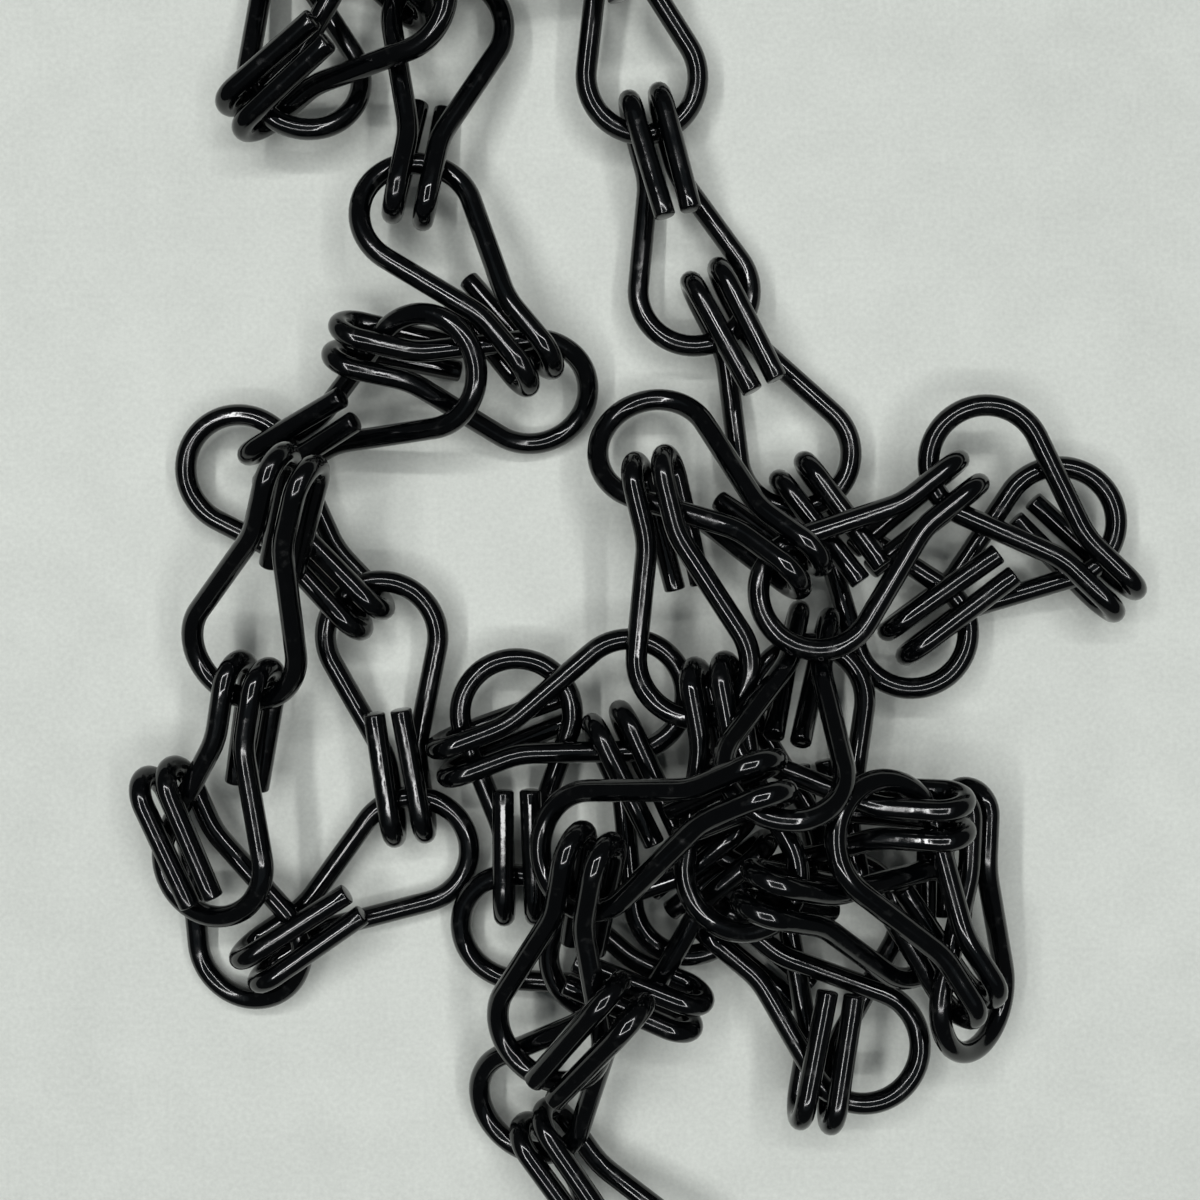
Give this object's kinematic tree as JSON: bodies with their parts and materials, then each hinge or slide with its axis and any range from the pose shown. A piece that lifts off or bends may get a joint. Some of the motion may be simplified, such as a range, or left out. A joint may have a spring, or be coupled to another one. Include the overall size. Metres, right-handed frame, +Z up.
{
  "type": "heap of jack chain",
  "caption": "Length of black coated wire chain lying in a loose heap, each bent wire link hooked by its two doubled-back ends over the round eye of the next.",
  "frame": {"origin": "on the floor under the middle of the heap's outline", "axes": "+Z up; the floor the heap lies on is Z = 0; +Y runs to the top of the picture and along the heap's longest side, +X to the picture's right"},
  "size_m": [0.0984, 0.1774, 0.024],
  "materials": {
    "black_coating": "gloss"
  },
  "bodies": {
    "root": {"link_01": "black_coating", "link_02": "black_coating", "link_03": "black_coating", "link_04": "black_coating", "link_05": "black_coating", "link_06": "black_coating", "link_07": "black_coating", "link_08": "black_coating", "link_09": "black_coating", "link_10": "black_coating", "link_11": "black_coating", "link_12": "black_coating", "link_13": "black_coating", "link_14": "black_coating", "link_15": "black_coating", "link_16": "black_coating", "link_17": "black_coating", "link_18": "black_coating", "link_19": "black_coating", "link_20": "black_coating", "link_21": "black_coating", "link_22": "black_coating", "link_23": "black_coating", "link_24": "black_coating", "link_25": "black_coating", "link_26": "black_coating", "link_27": "black_coating", "link_28": "black_coating", "link_29": "black_coating", "link_30": "black_coating", "link_31": "black_coating", "link_32": "black_coating", "link_33": "black_coating", "link_34": "black_coating", "link_35": "black_coating", "link_36": "black_coating", "link_37": "black_coating", "link_38": "black_coating", "link_39": "black_coating", "link_40": "black_coating", "link_41": "black_coating", "link_42": "black_coating", "link_43": "black_coating", "link_44": "black_coating"}
  },
  "joints": []
}
